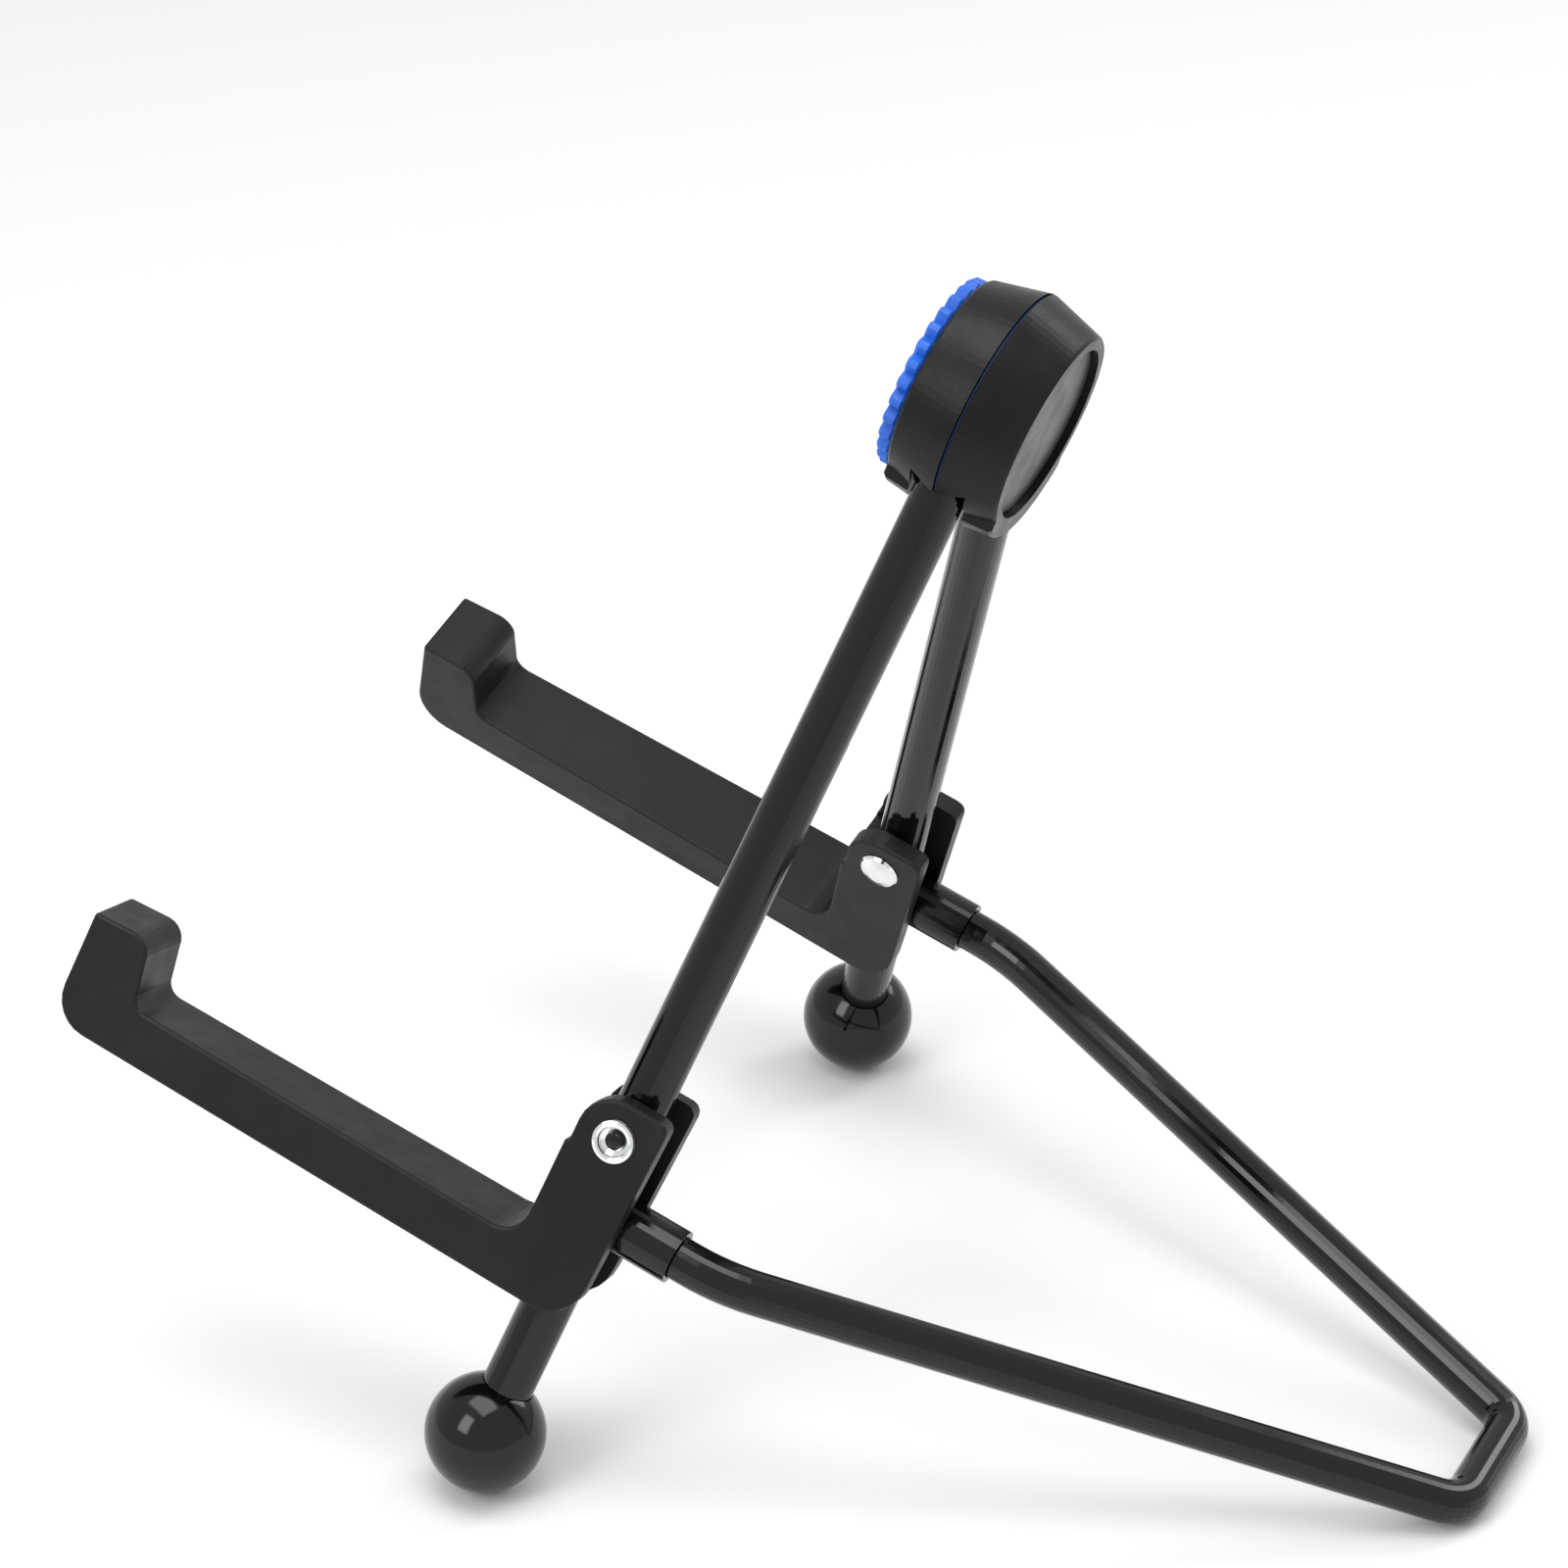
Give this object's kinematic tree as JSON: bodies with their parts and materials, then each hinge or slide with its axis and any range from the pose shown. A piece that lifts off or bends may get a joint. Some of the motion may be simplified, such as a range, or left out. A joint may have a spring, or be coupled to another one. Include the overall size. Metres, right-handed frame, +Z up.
{
  "type": "folding instrument stand",
  "caption": "Folding A-frame guitar stand with hooked arms, ball feet, a round head with a blue ribbed pad and a plug-in rear frame.",
  "frame": {"origin": "centre of the overall box's underside, on the floor", "axes": "+Z up, +X to the stand's right seen from behind, +Y rearward, so the arms point to -Y"},
  "size_m": [0.3578, 0.5098, 0.4284],
  "materials": {
    "black_enamel": "gloss",
    "gloss_black": "gloss",
    "satin_black": "satin",
    "cap_black": "satin",
    "blue_rubber": "satin",
    "steel": "satin",
    "chrome": "polished",
    "nylon": "matte"
  },
  "bodies": {
    "head": {"head_front_shell": "satin_black", "head_rear_shell": "satin_black", "rear_cap": "cap_black", "rest_pad": "blue_rubber", "seam_gasket": "blue_rubber", "right_pivot_bolt": "steel", "right_front_bush": "nylon", "right_rear_bush": "nylon", "left_pivot_bolt": "steel", "left_front_bush": "nylon", "left_rear_bush": "nylon"},
    "right_leg": {"right_leg_tube": "black_enamel", "right_leg_top_plug": "nylon", "right_foot_plug": "nylon", "right_foot_stud": "steel", "right_ball_foot": "gloss_black", "right_frame_socket": "black_enamel", "right_arm_rivet": "chrome", "right_rivet_plug": "gloss_black", "right_rivet_spacer": "nylon"},
    "right_arm": {"right_arm": "satin_black"},
    "left_leg": {"left_leg_tube": "black_enamel", "left_leg_top_plug": "nylon", "left_foot_plug": "nylon", "left_foot_stud": "steel", "left_ball_foot": "gloss_black", "left_frame_socket": "black_enamel", "left_arm_rivet": "chrome", "left_rivet_plug": "gloss_black", "left_rivet_spacer": "nylon"},
    "left_arm": {"left_arm": "satin_black"},
    "rear_frame": {"rear_frame": "black_enamel"}
  },
  "joints": [
    {"name": "right_leg_fold", "type": "hinge", "parent": "head", "child": "right_leg", "pos_m": [0.0199, 0.0457, 0.38665], "axis": [0, 0.9478, -0.319], "range_deg": [0, 19]},
    {"name": "right_arm_fold", "type": "hinge", "parent": "right_leg", "child": "right_arm", "pos_m": [0.11383, -0.03844, 0.13664], "axis": [-0.9421, -0.107, -0.3179], "range_deg": [0, 92]},
    {"name": "left_leg_fold", "type": "hinge", "parent": "head", "child": "left_leg", "pos_m": [-0.0199, 0.0457, 0.38665], "axis": [0, -0.9478, 0.319], "range_deg": [0, 19]},
    {"name": "left_arm_fold", "type": "hinge", "parent": "left_leg", "child": "left_arm", "pos_m": [-0.11383, -0.03844, 0.13664], "axis": [-0.9421, 0.107, 0.3179], "range_deg": [0, 92]},
    {"name": "frame_pull_out", "type": "slide", "parent": "head", "child": "rear_frame", "axis": [0, 0.9478, -0.319], "range_m": [0, 0.06]}
  ],
  "couplings": [
    {"joint": "left_leg_fold", "follows": "right_leg_fold", "ratio": 1}
  ]
}
